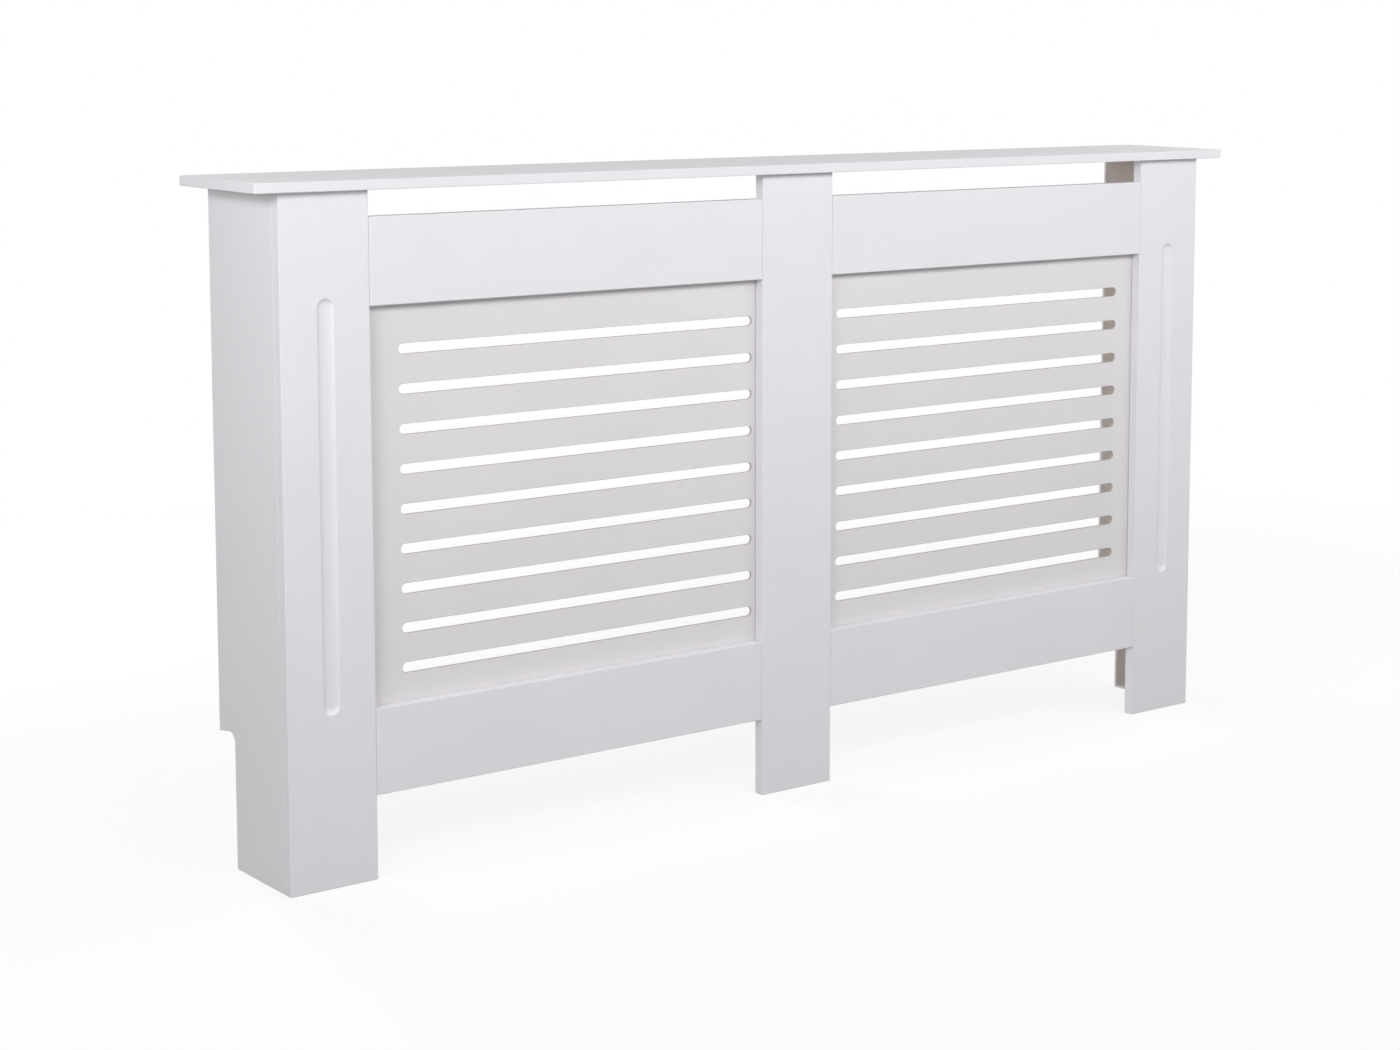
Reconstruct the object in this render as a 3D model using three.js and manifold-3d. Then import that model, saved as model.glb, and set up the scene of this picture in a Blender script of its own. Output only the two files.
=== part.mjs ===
// Radiator cover cabinet, 152 x 19 x 81.5 cm: a flat-pack front of painted boards under a shelf.
//
// Three posts and four rails make a flat frame, flush at the front. Two thin slotted sheets are screwed
// to the back of the frame and let the warm air through. Two side panels, cut away at the back for the
// skirting board, carry the shelf. The boards are drawn together by cams and bolts and located by dowels.
//
// Frame: +X to the right seen from the front, -Y to the front, +Z up, origin on the floor under the
// middle of the shelf. All sizes are in millimetres.

import * as THREE from 'three';
import { mergeVertices } from 'three/addons/utils/BufferGeometryUtils.js';
import Module from 'manifold-3d';

const wasm = await Module();
wasm.setup();

// ---------------------------------------------------------------- driving dimensions

const TOTAL_HEIGHT = 815;
const SHELF_WIDTH = 1520;
const SHELF_DEPTH = 190;
const BOARD = 15; // thickness of the shelf, posts, rails and side panels
const ARRIS = 1; // the softened edge of a painted board
const SEAM = 0.3; // gap between two pieces that meet

const SIDE_OVERHANG = 35; // of the shelf past the side panels
const FRONT_OVERHANG = 15; // of the shelf past the posts
const SHELF_CORNER = 2.5;

const POST_WIDTH = 112;
const RAIL_HEIGHT = 102;
const OUTLET_HEIGHT = 28; // open between the shelf and the upper rails
const INLET_HEIGHT = 100; // open beneath the lower rails

const FLUTE_WIDTH = 21;
const FLUTE_DEPTH = 4;
const FLUTE_BOTTOM = 204;
const FLUTE_TOP = 682;

const NOTCH_HEIGHT = 150; // cut-away of the side panels, over the skirting board
const NOTCH_DEPTH = 40;
const NOTCH_CORNER = 18;

const SHEET = 4; // thickness of a grille
const SHEET_ARRIS = 0.4;
const SLOTS = 9; // in each grille
const SLOT_PITCH = 46.9;
const SLOT_HEIGHT = 10.4;
const SLOT_LENGTH = 504.5;
const SLOT_START = 14; // from the edge of the centre post to the slots
const TOP_SLOT_DROP = 53.4; // from the upper rail to the middle of the top slot
const GRILLE_BORDER = 68; // from the outermost slots to the sheet's edges

const JOINT_INSET = 32; // from a rail's edge to its cam or dowel
const PANEL_CAM_HEIGHTS = { lower: 150, upper: 690 }; // where a side panel is drawn to its post
const PANEL_DOWEL_HEIGHT = 420;
const PANEL_CAM_DEPTH = 30; // behind the posts, where a side panel is drawn to the shelf
const PANEL_DOWEL_DEPTH = 125;
const SHELF_DOWEL_OFFSET = 36; // dowels of the centre post, either side of its cam
const BRACKET_HEIGHT = 720; // middle of the wall brackets
const GRILLE_SCREW_SPREAD = 230; // outer screws of a grille, either side of its middle
const GRILLE_SCREW_INSET = 9; // from the sheet's edge

// ---------------------------------------------------------------- fittings, as they are sold

const CAM = { radius: 7.3, height: 11.9, reach: 34, cross: 8, crossWidth: 1.7, crossDepth: 2.4 };
const BOLT = { thread: 11, threadRadius: 2.5, collar: 1.5, collarRadius: 3.5, shankRadius: 2.6 };
const BOLT_END = { neckRadius: 1.7, headRadius: 3.1 };
const DOWEL = { radius: 4, length: 30, chamfer: 1, inEdge: 15, inFace: 10 };
const HOUSING_DEPTH = 12.5; // of a cam's blind hole
const BORE_RADIUS = 4; // of a bolt's way through the board's edge
const GRILLE_SCREW = { headRadius: 3, headHeight: 1.8, shankRadius: 1.4, length: 13 };
const BRACKET_SCREW = { headRadius: 3.4, headHeight: 2.2, shankRadius: 1.6, length: 13 };
const BRACKET = { leg: 30, width: 22, steel: 1.5, bend: 2.5, wallHoleRadius: 2.6 };

// ---------------------------------------------------------------- places worked out from them

const POST_HEIGHT = TOTAL_HEIGHT - BOARD;
const FRAME_WIDTH = SHELF_WIDTH - 2 * SIDE_OVERHANG;
const FRONT = -SHELF_DEPTH / 2 + FRONT_OVERHANG; // front of the posts and rails
const FRAME_BACK = FRONT + BOARD;
const FRAME_MIDDLE = FRONT + BOARD / 2;
const WALL = SHELF_DEPTH / 2; // the plane of the wall behind the shelf
const BAY_START = POST_WIDTH / 2; // inner edge of the centre post
const BAY_END = FRAME_WIDTH / 2 - POST_WIDTH; // inner edge of an outer post
const UPPER_RAIL = POST_HEIGHT - OUTLET_HEIGHT - RAIL_HEIGHT; // lower edges of the rails
const LOWER_RAIL = INLET_HEIGHT;
const SIDE_MIDDLE = (FRAME_WIDTH - BOARD) / 2; // of a side panel's thickness
const SIDE_FRONT = FRAME_BACK + SEAM;

const ROUND = 12; // sides of a cam and of its housing
const SMALL_ROUND = 8; // sides of a bolt, dowel, screw or small hole
const SIDES = { left: -1, right: 1 };

const X = new THREE.Vector3(1, 0, 0);
const Y = new THREE.Vector3(0, 1, 0);
const Z = new THREE.Vector3(0, 0, 1);
const reversed = (v) => v.clone().negate();

// How a board's own width, height and thickness lie in the room.
const LEVEL = new THREE.Matrix4();
const FACING_FRONT = new THREE.Matrix4().makeBasis(X, Z, reversed(Y));
const FACING_SIDE = new THREE.Matrix4().makeBasis(Y, Z, X);

// ---------------------------------------------------------------- materials

const whitePaint = { color: '#f0f0f2', roughness: 0.42, metalness: 0 };
const grillePaint = { color: '#ebe9e9', roughness: 0.5, metalness: 0 };
const zincCasting = { color: '#b4b5b2', roughness: 0.38, metalness: 0.9 };
const platedSteel = { color: '#c6c7c4', roughness: 0.3, metalness: 1 };
const beech = { color: '#d9b98a', roughness: 0.7, metalness: 0 };

// ---------------------------------------------------------------- solids

/** A closed three.js geometry as a solid that can be cut and joined. */
function solidOf(geometry) {
  const bare = geometry.clone();
  bare.deleteAttribute('normal');
  bare.deleteAttribute('uv');
  const merged = mergeVertices(bare, 1e-4);
  return new wasm.Manifold(
    new wasm.Mesh({
      numProp: 3,
      vertProperties: merged.attributes.position.array,
      triVerts: merged.index.array,
    }),
  );
}

function geometryOf(solid) {
  const mesh = solid.getMesh();
  const geometry = new THREE.BufferGeometry();
  geometry.setAttribute('position', new THREE.BufferAttribute(new Float32Array(mesh.vertProperties), 3));
  geometry.setIndex(new THREE.BufferAttribute(new Uint32Array(mesh.triVerts), 1));
  const faceted = geometry.toNonIndexed();
  faceted.computeVertexNormals();
  return faceted;
}

function cut(geometry, tools) {
  return geometryOf(tools.reduce((solid, tool) => solid.subtract(solidOf(tool)), solidOf(geometry)));
}

function join(geometry, pieces) {
  return geometryOf(pieces.reduce((solid, piece) => solid.add(solidOf(piece)), solidOf(geometry)));
}

/** A turned piece whose profile is given as [radius, place along +X]. */
function turned(profile, sides = SMALL_ROUND) {
  const points = profile.map(([radius, along]) => new THREE.Vector2(radius, along));
  return new THREE.LatheGeometry(points, sides).rotateZ(-Math.PI / 2);
}

/** A round drill along +X. */
function drill(radius, start, end, sides = SMALL_ROUND) {
  return turned([[0, start], [radius, start], [radius, end], [0, end]], sides);
}

// ---------------------------------------------------------------- boards

function rectangle(width, height, corner = 0) {
  const shape = new THREE.Shape();
  if (corner === 0) {
    return shape.moveTo(0, 0).lineTo(width, 0).lineTo(width, height).lineTo(0, height);
  }
  shape.absarc(width - corner, corner, corner, -Math.PI / 2, 0);
  shape.absarc(width - corner, height - corner, corner, 0, Math.PI / 2);
  shape.absarc(corner, height - corner, corner, Math.PI / 2, Math.PI);
  shape.absarc(corner, corner, corner, Math.PI, 1.5 * Math.PI);
  return shape;
}

/** A slot with round ends, as a hole in an outline. */
function slot(start, end, middle, height) {
  const path = new THREE.Path();
  const radius = height / 2;
  path.absarc(start + radius, middle, radius, 1.5 * Math.PI, Math.PI / 2, true);
  path.absarc(end - radius, middle, radius, Math.PI / 2, -Math.PI / 2, true);
  return path;
}

/** A flat piece lying on z = 0 of its own frame, softened all round both faces. */
function slab(outline, { thickness, arris, softness, curveSegments }) {
  return new THREE.ExtrudeGeometry(outline, {
    depth: thickness - 2 * arris,
    bevelThickness: arris,
    bevelSize: arris,
    bevelOffset: -arris,
    bevelSegments: softness,
    curveSegments,
  }).translate(0, 0, arris);
}

function board(outline, curveSegments = 1) {
  return slab(outline, { thickness: BOARD, arris: ARRIS, softness: 2, curveSegments });
}

/** A named piece at its place, with the drillings that its joints need made in its own frame. */
class Piece {
  constructor(name, geometry, finish, lie, x, y, z) {
    this.mesh = new THREE.Mesh(geometry, new THREE.MeshStandardMaterial(finish));
    this.mesh.name = name;
    this.mesh.quaternion.setFromRotationMatrix(lie);
    this.mesh.position.set(x, y, z);
    this.mesh.updateMatrix();
    this.drillings = [];
  }

  /** Adds a drill that stands in the frame of a joint. */
  drilled(tool, frame) {
    const toOwnFrame = this.mesh.matrix.clone().invert().multiply(frame);
    this.drillings.push(tool.clone().applyMatrix4(toOwnFrame));
  }

  finished() {
    if (this.drillings.length) {
      this.mesh.geometry = cut(this.mesh.geometry, this.drillings);
    }
    return this.mesh;
  }
}

function makeShelf() {
  const outline = rectangle(SHELF_WIDTH, SHELF_DEPTH, SHELF_CORNER);
  const [x, y] = [-SHELF_WIDTH / 2, -SHELF_DEPTH / 2];
  return new Piece('shelf', board(outline), whitePaint, LEVEL, x, y, POST_HEIGHT);
}

/** The routed flute: a cutter with a round nose, run up the middle of an outer post. */
function fluteCutter() {
  const radius = (FLUTE_WIDTH ** 2 / 4 + FLUTE_DEPTH ** 2) / (2 * FLUTE_DEPTH);
  const run = FLUTE_TOP - FLUTE_BOTTOM - FLUTE_WIDTH;
  return new THREE.CapsuleGeometry(radius, run, 10, 40)
    .translate(POST_WIDTH / 2, (FLUTE_BOTTOM + FLUTE_TOP) / 2, BOARD + radius - FLUTE_DEPTH);
}

function makePost(name, middle, fluted) {
  const height = POST_HEIGHT - SEAM;
  const plain = board(rectangle(POST_WIDTH, height));
  const geometry = fluted ? cut(plain, [fluteCutter()]) : plain;
  return new Piece(name, geometry, whitePaint, FACING_FRONT, middle - POST_WIDTH / 2, FRAME_BACK, 0);
}

function makeRail(name, side, bottom) {
  const length = BAY_END - BAY_START - 2 * SEAM;
  const start = side > 0 ? BAY_START + SEAM : -BAY_END + SEAM;
  const geometry = board(rectangle(length, RAIL_HEIGHT));
  return new Piece(name, geometry, whitePaint, FACING_FRONT, start, FRAME_BACK, bottom);
}

function makeSidePanel(name, side) {
  const depth = WALL - SIDE_FRONT;
  const height = POST_HEIGHT - SEAM;
  const notchFront = depth - NOTCH_DEPTH;
  const outline = new THREE.Shape()
    .moveTo(0, 0)
    .lineTo(notchFront, 0)
    .absarc(notchFront + NOTCH_CORNER, NOTCH_HEIGHT - NOTCH_CORNER, NOTCH_CORNER, Math.PI, Math.PI / 2, true)
    .lineTo(depth, NOTCH_HEIGHT)
    .lineTo(depth, height)
    .lineTo(0, height);
  const lowSide = side * SIDE_MIDDLE - BOARD / 2;
  return new Piece(name, board(outline, 4), whitePaint, FACING_SIDE, lowSide, SIDE_FRONT, 0);
}

/** A pan-head screw along +X, its head seated at x = 0. */
function screw({ headRadius, headHeight, shankRadius, length }) {
  return turned([
    [0, -headHeight],
    [0.6 * headRadius, -headHeight],
    [headRadius, -0.5 * headHeight],
    [headRadius, 0],
    [shankRadius, 0],
    [shankRadius, length - 2 * shankRadius],
    [0, length],
  ]);
}

const slotBlockHeight = (SLOTS - 1) * SLOT_PITCH + SLOT_HEIGHT;
const grilleWidth = SLOT_LENGTH + 2 * GRILLE_BORDER;
const grilleHeight = slotBlockHeight + 2 * GRILLE_BORDER;
const grilleTop = UPPER_RAIL - TOP_SLOT_DROP + SLOT_HEIGHT / 2 + GRILLE_BORDER;
const grilleMiddle = BAY_START + SLOT_START + SLOT_LENGTH / 2;

/** Where a grille's screws stand, from the lower left corner of the sheet. */
function grilleScrewPlaces() {
  const heights = [GRILLE_SCREW_INSET, grilleHeight - GRILLE_SCREW_INSET];
  const offsets = [-GRILLE_SCREW_SPREAD, 0, GRILLE_SCREW_SPREAD];
  return heights.flatMap((height) => offsets.map((offset) => ({ across: grilleWidth / 2 + offset, height })));
}

/** A slotted sheet behind the frame, with the screws that hold it. */
function makeGrille(name, side) {
  const outline = rectangle(grilleWidth, grilleHeight);
  for (let i = 0; i < SLOTS; i++) {
    const middle = GRILLE_BORDER + SLOT_HEIGHT / 2 + i * SLOT_PITCH;
    outline.holes.push(slot(GRILLE_BORDER, grilleWidth - GRILLE_BORDER, middle, SLOT_HEIGHT));
  }
  const sheet = slab(outline, { thickness: SHEET, arris: SHEET_ARRIS, softness: 1, curveSegments: 4 });
  const screws = grilleScrewPlaces().map(({ across, height }) =>
    screw(GRILLE_SCREW).rotateY(-Math.PI / 2).translate(across, height, 0));
  const geometry = join(sheet, screws);
  const [start, bottom] = [side * grilleMiddle - grilleWidth / 2, grilleTop - grilleHeight];
  return new Piece(name, geometry, grillePaint, FACING_FRONT, start, FRAME_BACK + SEAM + SHEET, bottom);
}

// ---------------------------------------------------------------- joints and their fittings

/**
 * The frame of a joint. Its origin is on the seam, in the middle of the boards' thickness. +X runs from
 * the board that takes the thread into the board that holds the cam, and +Z out of the cam's housing.
 */
function jointFrame(x, y, z, boltWay, mouthWay) {
  const acrossWay = mouthWay.clone().cross(boltWay);
  return new THREE.Matrix4().makeBasis(boltWay, acrossWay, mouthWay).setPosition(x, y, z);
}

function fitting(name, geometry, finish, frame) {
  const mesh = new THREE.Mesh(geometry, new THREE.MeshStandardMaterial(finish));
  mesh.name = name;
  mesh.applyMatrix4(frame);
  return mesh;
}

const housingRadius = CAM.radius + SEAM;
const housingFloor = BOARD / 2 - HOUSING_DEPTH;

/** A die-cast cam: a drum with a cross recess, a side mouth for the bolt's head and a slot for its neck. */
function camGeometry() {
  const bottom = housingFloor + SEAM;
  const top = bottom + CAM.height;
  const drum = turned([
    [0, bottom],
    [CAM.radius, bottom],
    [CAM.radius, top - 0.6],
    [CAM.radius - 0.6, top],
    [0, top],
  ], ROUND).rotateY(-Math.PI / 2);
  const room = BOLT_END.headRadius + SEAM;
  const headMouth = drill(room, -2 * CAM.radius, room).rotateZ(Math.PI / 2);
  const slotSize = 2 * (BOLT_END.neckRadius + SEAM);
  const slotLength = CAM.radius + 2;
  const neckSlot = new THREE.BoxGeometry(slotLength, slotSize, slotSize).translate(-slotLength / 2, 0, 0);
  const recess = [0, Math.PI / 2].map((turn) =>
    new THREE.BoxGeometry(CAM.cross, CAM.crossWidth, 2 * CAM.crossDepth).rotateZ(turn).translate(0, 0, top));
  return cut(drum, [headMouth, neckSlot, ...recess]).translate(CAM.reach, 0, 0);
}

/** A cam bolt: a thread for the receiving board, a collar, a shank, a neck and a ball head. */
function boltGeometry() {
  const neckStart = CAM.reach - CAM.radius - SEAM;
  const ball = [-0.9, 0, 0.9].map((step) => [
    BOLT_END.headRadius * Math.cos(step),
    CAM.reach + BOLT_END.headRadius * Math.sin(step),
  ]);
  return turned([
    [0, -BOLT.thread],
    [BOLT.threadRadius, -BOLT.thread + BOLT.threadRadius / 2],
    [BOLT.threadRadius, SEAM],
    [BOLT.collarRadius, SEAM],
    [BOLT.collarRadius, SEAM + BOLT.collar],
    [BOLT.shankRadius, SEAM + BOLT.collar],
    [BOLT.shankRadius, neckStart],
    [BOLT_END.neckRadius, neckStart],
    [BOLT_END.neckRadius, ball[0][1]],
    ...ball,
    [0, CAM.reach + BOLT_END.headRadius],
  ]);
}

/** A dowel with chamfered ends, from x = start. */
function dowelGeometry(start) {
  const end = start + DOWEL.length;
  return turned([
    [0, start],
    [DOWEL.radius - DOWEL.chamfer, start],
    [DOWEL.radius, start + DOWEL.chamfer],
    [DOWEL.radius, end - DOWEL.chamfer],
    [DOWEL.radius - DOWEL.chamfer, end],
    [0, end],
  ]);
}

const fittings = new THREE.Group();

/** Joins two boards with a cam and its bolt, and drills both boards for them. */
function camJoint(name, receiver, holder, frame) {
  fittings.add(fitting('cam_' + name, camGeometry(), zincCasting, frame));
  fittings.add(fitting('bolt_' + name, boltGeometry(), platedSteel, frame));
  receiver.drilled(drill(BOLT.threadRadius + SEAM, -BOLT.thread - SEAM, 1), frame);
  holder.drilled(drill(BORE_RADIUS, -1, CAM.reach), frame);
  const housing = drill(housingRadius, housingFloor, BOARD, ROUND).rotateY(-Math.PI / 2);
  holder.drilled(housing.translate(CAM.reach, 0, 0), frame);
}

/** Locates two boards with a dowel that goes so deep into the receiver, and drills both boards for it. */
function dowelJoint(name, receiver, depth, holder, frame) {
  fittings.add(fitting('dowel_' + name, dowelGeometry(-depth), beech, frame));
  receiver.drilled(drill(DOWEL.radius + SEAM, -depth - SEAM, 1), frame);
  holder.drilled(drill(DOWEL.radius + SEAM, -1, DOWEL.length - depth + SEAM), frame);
}

// ---------------------------------------------------------------- assembly

const shelf = makeShelf();
const centrePost = makePost('post_centre', 0, false);
const boards = [shelf, centrePost];

// The centre post hangs from the shelf by one cam between two dowels.
camJoint('centre_post_to_shelf', shelf, centrePost, jointFrame(0, FRAME_MIDDLE, POST_HEIGHT, reversed(Z), Y));
for (const [word, side] of Object.entries(SIDES)) {
  const frame = jointFrame(side * SHELF_DOWEL_OFFSET, FRAME_MIDDLE, POST_HEIGHT, reversed(Z), Y);
  dowelJoint('centre_post_to_shelf_' + word, shelf, DOWEL.inFace, centrePost, frame);
}

/** One rail's two joints, at the centre post and at the outer post. */
function joinRail(name, rail, outerPost, side, camHeight, dowelHeight) {
  const outward = side > 0 ? X : reversed(X);
  const ends = [
    { end: 'inner', post: centrePost, x: side * BAY_START, boltWay: outward },
    { end: 'outer', post: outerPost, x: side * BAY_END, boltWay: reversed(outward) },
  ];
  for (const { end, post, x, boltWay } of ends) {
    const at = (height) => jointFrame(x, FRAME_MIDDLE, height, boltWay, Y);
    camJoint(name + '_' + end, post, rail, at(camHeight));
    dowelJoint(name + '_' + end, post, DOWEL.inEdge, rail, at(dowelHeight));
  }
}

/** A side panel's joints: drawn to the back of its post and to the underside of the shelf, from inside. */
function joinSidePanel(name, panel, post, side) {
  const middle = side * SIDE_MIDDLE;
  const inward = side > 0 ? reversed(X) : X;
  const toPost = (height) => jointFrame(middle, FRAME_BACK, height, Y, inward);
  const toShelf = (depth) => jointFrame(middle, FRAME_BACK + depth, POST_HEIGHT, reversed(Z), inward);
  for (const [level, height] of Object.entries(PANEL_CAM_HEIGHTS)) {
    camJoint(name + '_to_post_' + level, post, panel, toPost(height));
  }
  dowelJoint(name + '_to_post', post, DOWEL.inFace, panel, toPost(PANEL_DOWEL_HEIGHT));
  camJoint(name + '_to_shelf', shelf, panel, toShelf(PANEL_CAM_DEPTH));
  dowelJoint(name + '_to_shelf', shelf, DOWEL.inFace, panel, toShelf(PANEL_DOWEL_DEPTH));
}

const bracketHole = (BRACKET.leg + BRACKET.bend) / 2; // from the corner to a hole, on either leg

/** A steel angle in the corner of a side panel and the wall, its outer corner at the origin. */
function bracketGeometry() {
  const { leg, width, steel, bend, wallHoleRadius } = BRACKET;
  const profile = new THREE.Shape()
    .moveTo(0, -leg)
    .lineTo(0, -bend)
    .absarc(-bend, -bend, bend, 0, Math.PI / 2, false)
    .lineTo(-leg, 0)
    .lineTo(-leg, -steel)
    .lineTo(-bend, -steel)
    .absarc(-bend, -bend, bend - steel, Math.PI / 2, 0, true)
    .lineTo(-steel, -leg);
  const angle = new THREE.ExtrudeGeometry(profile, { depth: width, bevelEnabled: false, curveSegments: 2 });
  const panelHole = drill(BRACKET_SCREW.shankRadius + SEAM, -2 * steel, 1).translate(0, -bracketHole, 0);
  const wallHole = drill(wallHoleRadius, -2 * steel, 1).rotateZ(Math.PI / 2).translate(-bracketHole, 0, 0);
  return cut(angle.translate(0, 0, -width / 2), [panelHole, wallHole]);
}

/** A wall bracket on the inside of a side panel, with its screw. */
function addWallBracket(word, panel, side) {
  const inside = side * (SIDE_MIDDLE - BOARD / 2 - SEAM);
  const lie = new THREE.Matrix4().makeRotationZ(side > 0 ? 0 : Math.PI / 2);
  const corner = lie.setPosition(inside, WALL, BRACKET_HEIGHT);
  fittings.add(fitting('wall_bracket_' + word, bracketGeometry(), platedSteel, corner));
  const seat = inside - side * (BRACKET.steel + SEAM);
  const outward = side > 0 ? X : reversed(X);
  const frame = jointFrame(seat, WALL - bracketHole, BRACKET_HEIGHT, outward, Z);
  fittings.add(fitting('bracket_screw_' + word, screw(BRACKET_SCREW), platedSteel, frame));
  panel.drilled(drill(BRACKET_SCREW.shankRadius + SEAM, 0, BRACKET_SCREW.length + SEAM), frame);
}

for (const [word, side] of Object.entries(SIDES)) {
  const post = makePost('post_' + word, (side * (FRAME_WIDTH - POST_WIDTH)) / 2, true);
  const panel = makeSidePanel('side_panel_' + word, side);
  const upperRail = makeRail('rail_upper_' + word, side, UPPER_RAIL);
  const lowerRail = makeRail('rail_lower_' + word, side, LOWER_RAIL);
  const grille = makeGrille('grille_' + word, side);
  boards.push(post, panel, upperRail, lowerRail, grille);

  // Each rail has its cam on the side away from the grille and its dowel on the grille's side.
  const upperEdge = UPPER_RAIL + RAIL_HEIGHT;
  joinRail('rail_upper_' + word, upperRail, post, side, upperEdge - JOINT_INSET, UPPER_RAIL + JOINT_INSET);
  const lowerEdge = LOWER_RAIL + RAIL_HEIGHT;
  joinRail('rail_lower_' + word, lowerRail, post, side, LOWER_RAIL + JOINT_INSET, lowerEdge - JOINT_INSET);

  joinSidePanel('side_panel_' + word, panel, post, side);
  addWallBracket(word, panel, side);

  // The grille's screws go into the two rails.
  for (const { across, height } of grilleScrewPlaces()) {
    const x = side * grilleMiddle - grilleWidth / 2 + across;
    const frame = jointFrame(x, FRAME_BACK, grilleTop - grilleHeight + height, reversed(Y), Z);
    const rail = height > grilleHeight / 2 ? upperRail : lowerRail;
    const pilotDepth = GRILLE_SCREW.length - SHEET;
    rail.drilled(drill(GRILLE_SCREW.shankRadius + SEAM, -1, pilotDepth), frame);
  }
}

const radiatorCover = new THREE.Group();
for (const piece of boards) {
  radiatorCover.add(piece.finished());
}
radiatorCover.add(fittings);

export default radiatorCover;
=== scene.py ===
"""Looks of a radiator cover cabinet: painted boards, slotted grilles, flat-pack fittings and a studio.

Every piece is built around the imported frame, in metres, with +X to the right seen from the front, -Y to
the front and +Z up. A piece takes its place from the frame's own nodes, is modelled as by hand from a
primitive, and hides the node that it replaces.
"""

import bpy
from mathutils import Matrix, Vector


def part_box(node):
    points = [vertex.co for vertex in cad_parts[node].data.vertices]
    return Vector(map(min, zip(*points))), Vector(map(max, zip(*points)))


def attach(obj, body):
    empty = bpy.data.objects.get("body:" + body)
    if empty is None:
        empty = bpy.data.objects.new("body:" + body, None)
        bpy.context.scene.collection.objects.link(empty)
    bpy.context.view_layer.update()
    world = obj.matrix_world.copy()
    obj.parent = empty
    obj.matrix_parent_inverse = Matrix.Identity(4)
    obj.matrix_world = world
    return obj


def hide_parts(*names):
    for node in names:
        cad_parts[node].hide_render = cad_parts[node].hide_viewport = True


bl_info = {
    "name": "Radiator Cover Cabinet",
    "version": (1, 0, 0),
    "blender": (4, 5, 0),
    "location": "View3D > Sidebar > Radiator Cover",
    "description": "Dresses the radiator cover with painted boards, slotted grilles and its fittings",
    "category": "Object",
}

import math
from contextlib import contextmanager

import bmesh
import bpy
from bpy.props import FloatProperty, FloatVectorProperty, IntProperty, PointerProperty
from mathutils import Matrix, Vector

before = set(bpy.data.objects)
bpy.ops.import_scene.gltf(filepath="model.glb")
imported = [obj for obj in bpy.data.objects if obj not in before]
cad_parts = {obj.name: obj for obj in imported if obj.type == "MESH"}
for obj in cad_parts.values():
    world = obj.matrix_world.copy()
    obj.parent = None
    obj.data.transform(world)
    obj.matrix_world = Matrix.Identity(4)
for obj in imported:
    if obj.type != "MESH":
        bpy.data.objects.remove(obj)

MM = 0.001
BODY = "root"
SIDES = {"left": -1, "right": 1}
X, Y, Z = Vector((1, 0, 0)), Vector((0, 1, 0)), Vector((0, 0, 1))

# Places of a board's materials among its slots.
PAINTED, DRILLED, EDGE = 0, 1, 2

QUARTER_TURN = math.pi / 2
SMOOTH_ANGLE = math.radians(35)  # faces that meet at less than this are shaded as one
SHARP_ANGLE = math.radians(50)  # edges that turn by more than this are softened
CLOSE = MM / 10  # places nearer to each other than this count as one
JUST_PAST = 0.004 * MM  # a cutter's rim stands this far proud, so that it crosses the face cleanly


# ---------------------------------------------------------------- settings


def size(name, description, millimetres):
    """A length that the user may change, written in millimetres."""
    return FloatProperty(
        name=name, description=description, default=millimetres * MM, min=0, precision=5, unit="LENGTH"
    )


def share(name, description, default, most=1.0):
    """A plain number from nothing to its most."""
    return FloatProperty(name=name, description=description, default=default, min=0, max=most)


def colour(name, description, *levels):
    """A colour that the user may change, written as red, green and blue from 0 to 255."""
    linear = [((level / 255 + 0.055) / 1.055) ** 2.4 for level in levels]
    return FloatVectorProperty(
        name=name, description=description, default=linear, size=3, min=0, max=1, subtype="COLOR"
    )


class BoardSettings(bpy.types.PropertyGroup):
    """Sizes of the painted boards that the frame's boxes don't give."""

    arris: size("Arris", "Radius of a board's softened edges", 1)
    shelf_thickness: size("Shelf thickness", "Thickness of the shelf, under the same top", 12)
    shelf_corner: size("Shelf corner", "Radius of the shelf's corners, seen from above", 1.5)
    clearance: size("Clearance", "Room around a fitting in its drilled hole", 0.3)
    bolt_bore: size("Bolt bore", "Radius of a bolt's way through a board's edge", 4)
    mist: size("Paint mist", "How far stray paint reaches over a bare back", 6)
    shelf_border: size("Shelf border", "Painted border of the shelf's underside", 18)
    flute_width: size("Flute width", "Width of the groove in an outer post", 21)
    flute_depth: size("Flute depth", "Depth of the groove in an outer post", 4)
    flute_bottom: size("Flute bottom", "Height of the groove's lower end", 204)
    flute_top: size("Flute top", "Height of the groove's upper end", 682)
    flute_lip: size("Flute lip", "How far the groove's rim is softened", 0.6)
    notch_height: size("Notch height", "Height of the skirting notch", 165)
    notch_depth: size("Notch depth", "Depth of the skirting notch", 40)
    notch_corner: size("Notch corner", "Radius of the notch's inner corner", 15)
    notch_fall: size("Notch fall", "How far the notch's top falls towards the wall", 6)


class GrilleSettings(bpy.types.PropertyGroup):
    """Sizes of the slotted grilles."""

    sheet: size("Sheet", "Thickness of a grille", 3.5)
    seam: size("Seam", "Gap between the rails and a grille", 0.8)
    arris: size("Arris", "Radius of the sheet's softened edges and slot rims", 0.5)
    slots: IntProperty(name="Slots", description="Number of slots in a grille", default=9, min=1)
    pitch: size("Pitch", "From one slot to the next", 46.9)
    slot_height: size("Slot height", "Height of a slot", 12.2)
    border: size("Border", "From the outermost slots to the sheet's edges", 67.1)
    offset: size("Slot offset", "How far the slots stand to the right of their sheet's middle", 7)
    screw_spread: size("Screw spread", "Outer screws, either side of a grille's middle", 230)
    screw_inset: size("Screw inset", "From the sheet's edge to its screws", 9)


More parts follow.
